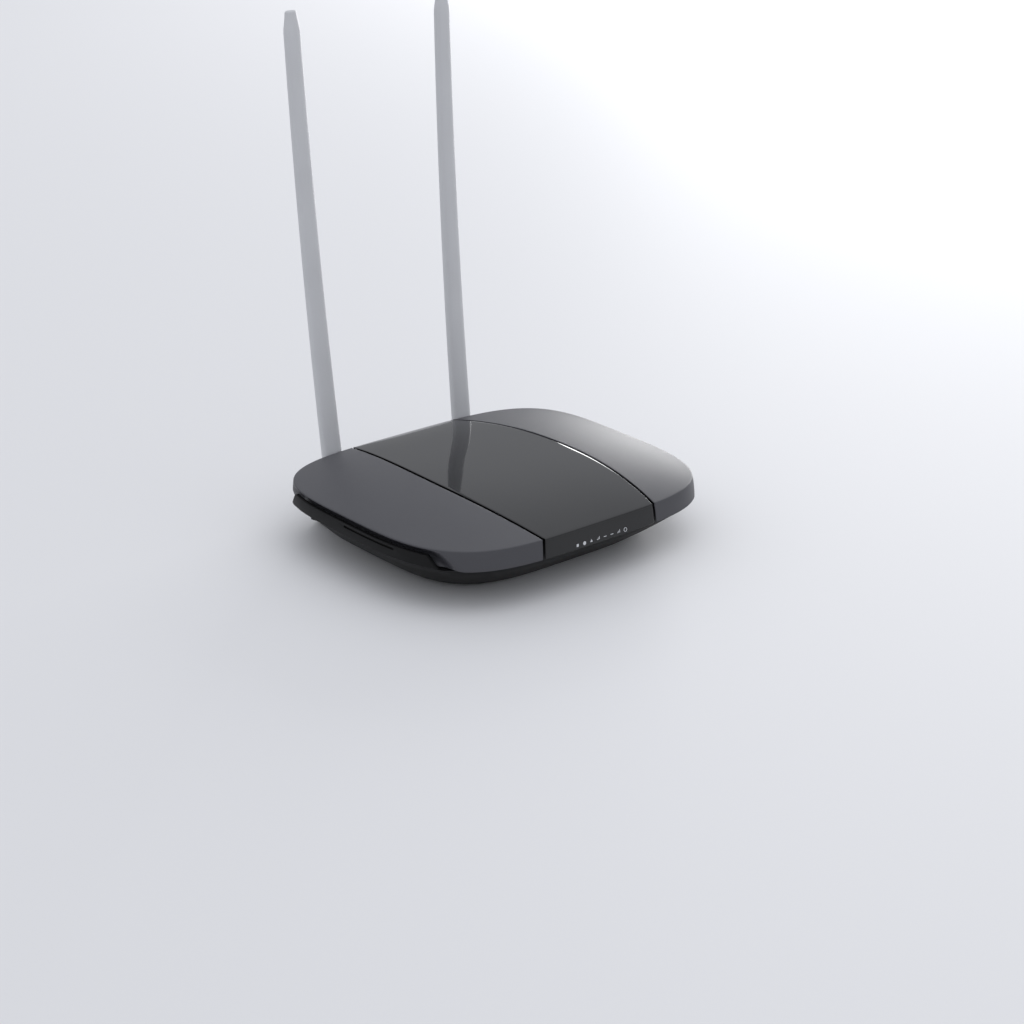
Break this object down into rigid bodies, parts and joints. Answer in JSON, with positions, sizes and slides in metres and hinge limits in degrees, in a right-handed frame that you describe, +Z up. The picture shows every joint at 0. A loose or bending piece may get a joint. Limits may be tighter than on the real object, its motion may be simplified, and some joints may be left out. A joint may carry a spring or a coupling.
{
  "type": "wireless router",
  "caption": "Low domed wireless router with satin wings beside a gloss centre panel, rear sockets and two folding blade antennas.",
  "frame": {"origin": "middle of the whole part's box, on the surface that the feet stand on", "axes": "+X to the right seen from the lamps, -Y towards the lamps, +Y towards the sockets and antennas, +Z up"},
  "size_m": [0.19, 0.1872, 0.2536],
  "materials": {
    "satin_black": "satin moulded",
    "gloss_black": "piano gloss",
    "inner_black": "plain moulded",
    "matt_black": "fine grain",
    "button_grey": "satin moulded",
    "rubber": "matt",
    "antenna_grey": "satin moulded",
    "hinge_grey": "satin moulded",
    "steel": "plated",
    "brass": "plain",
    "aluminium": "anodised",
    "board_green": "solder mask",
    "chip_black": "moulded epoxy",
    "socket_yellow": "plain moulded",
    "socket_blue": "plain moulded",
    "clear_plastic": "clear",
    "cable_grey": "plain",
    "label_silver": "blank label"
  },
  "bodies": {
    "casing": {"antenna_left_lead": "cable_grey", "antenna_right_lead": "cable_grey", "board_screw_front_left": "steel", "board_screw_front_right": "steel", "board_screw_rear_left": "steel", "board_screw_rear_right": "steel", "bottom_case": "matt_black", "case_screw_front_left": "steel", "case_screw_front_right": "steel", "case_screw_rear_left": "steel", "case_screw_rear_right": "steel", "centre_panel": "gloss_black", "clock_crystal": "steel", "core_capacitor": "inner_black", "flash_chip": "chip_black", "foot_front_left": "rubber", "foot_front_right": "rubber", "foot_rear_left": "rubber", "foot_rear_right": "rubber", "heat_sink": "aluminium", "input_capacitor": "inner_black", "label_plate": "label_silver", "lamp_row": "clear_plastic", "lan_jacks": "socket_yellow", "lan_magnetics": "chip_black", "left_wing": "satin_black", "light_pipe": "clear_plastic", "main_board": "board_green", "memory_chip": "chip_black", "output_capacitor": "inner_black", "power_jack": "chip_black", "power_jack_pin": "steel", "power_switch": "chip_black", "processor": "chip_black", "radio_shield": "steel", "rear_panel": "matt_black", "reset_switch": "chip_black", "right_wing": "satin_black", "top_shell": "inner_black", "wan_jack": "socket_blue", "wan_magnetics": "chip_black"},
    "antenna_left_base": {"antenna_left_swivel": "hinge_grey", "antenna_left_pin": "steel"},
    "antenna_left_blade": {"antenna_left_knuckle": "hinge_grey", "antenna_left_sleeve": "antenna_grey", "antenna_left_radiator": "brass"},
    "antenna_right_base": {"antenna_right_swivel": "hinge_grey", "antenna_right_pin": "steel"},
    "antenna_right_blade": {"antenna_right_knuckle": "hinge_grey", "antenna_right_sleeve": "antenna_grey", "antenna_right_radiator": "brass"},
    "power_button": {"power_button": "button_grey"},
    "reset_button": {"reset_button": "button_grey"}
  },
  "joints": [
    {"name": "antenna_left_swivel_turn", "type": "hinge", "parent": "casing", "child": "antenna_left_base", "pos_m": [-0.0438, 0.04999, 0.0136], "axis": [0, 1, 0], "range_deg": [-90, 15]},
    {"name": "antenna_left_fold", "type": "hinge", "parent": "antenna_left_base", "child": "antenna_left_blade", "pos_m": [-0.0438, 0.06169, 0.0136], "axis": [-0.9998, 0, -0.0183], "range_deg": [0, 78]},
    {"name": "antenna_right_swivel_turn", "type": "hinge", "parent": "casing", "child": "antenna_right_base", "pos_m": [0.0438, 0.04999, 0.0136], "axis": [0, 1, 0], "range_deg": [-15, 90]},
    {"name": "antenna_right_fold", "type": "hinge", "parent": "antenna_right_base", "child": "antenna_right_blade", "pos_m": [0.0438, 0.06169, 0.0136], "axis": [-0.9998, 0, 0.0183], "range_deg": [0, 78]},
    {"name": "power_button_press", "type": "slide", "parent": "casing", "child": "power_button", "axis": [0, -1, 0], "range_m": [0, 0.0022], "stiffness_N_per_m": 450, "springref_m": -0.001},
    {"name": "reset_button_press", "type": "slide", "parent": "casing", "child": "reset_button", "axis": [0, -1, 0], "range_m": [0, 0.0022], "stiffness_N_per_m": 450, "springref_m": -0.001}
  ]
}
